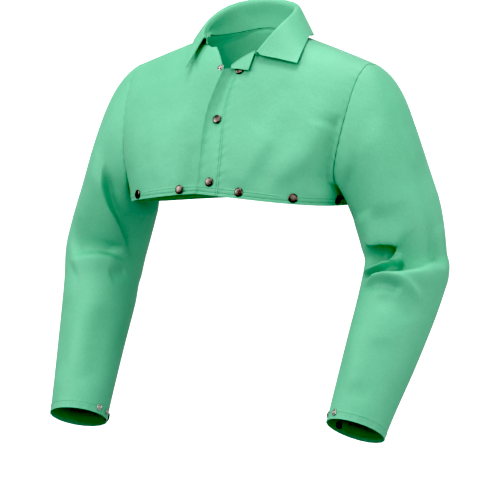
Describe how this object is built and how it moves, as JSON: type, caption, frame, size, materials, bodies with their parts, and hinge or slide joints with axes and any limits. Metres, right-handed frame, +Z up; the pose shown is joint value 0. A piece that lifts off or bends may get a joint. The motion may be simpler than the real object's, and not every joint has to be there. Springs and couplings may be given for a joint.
{
  "type": "welding cape sleeve",
  "caption": "Cropped welding jacket of flame-resistant cotton: short body with turn-down collar, snap front and hem, and long bent sleeves with snap cuffs, open at neck, hem and cuffs.",
  "frame": {"origin": "middle of the neck opening, at the height where the shoulder seams meet the collar", "axes": "+X towards the wearer's left arm, -Y towards the front, +Z up"},
  "size_m": [0.7611, 0.2866, 0.7652],
  "materials": {
    "cloth": "sea-green flame-resistant cotton sateen with a soft sheen",
    "cap": "dark antique snap cap, polished on its dome",
    "stud": "bright pressed metal snap stud"
  },
  "bodies": {
    "root": {"front_left": "cloth", "front_right": "cloth", "back_panel": "cloth", "sleeve_left": "cloth", "cuff_left_stud_inner": "stud", "cuff_left_stud_outer": "stud", "cuff_left_cap": "cap", "sleeve_right": "cloth", "cuff_right_stud_inner": "stud", "cuff_right_stud_outer": "stud", "cuff_right_cap": "cap", "collar": "cloth", "front_cap_top": "cap", "front_stud_top": "stud", "front_cap_middle": "cap", "front_stud_middle": "stud", "front_cap_bottom": "cap", "front_stud_bottom": "stud", "hem_cap_1": "cap", "hem_cap_2": "cap", "hem_cap_3": "cap", "hem_cap_4": "cap", "hem_cap_5": "cap", "hem_cap_6": "cap"}
  },
  "joints": []
}
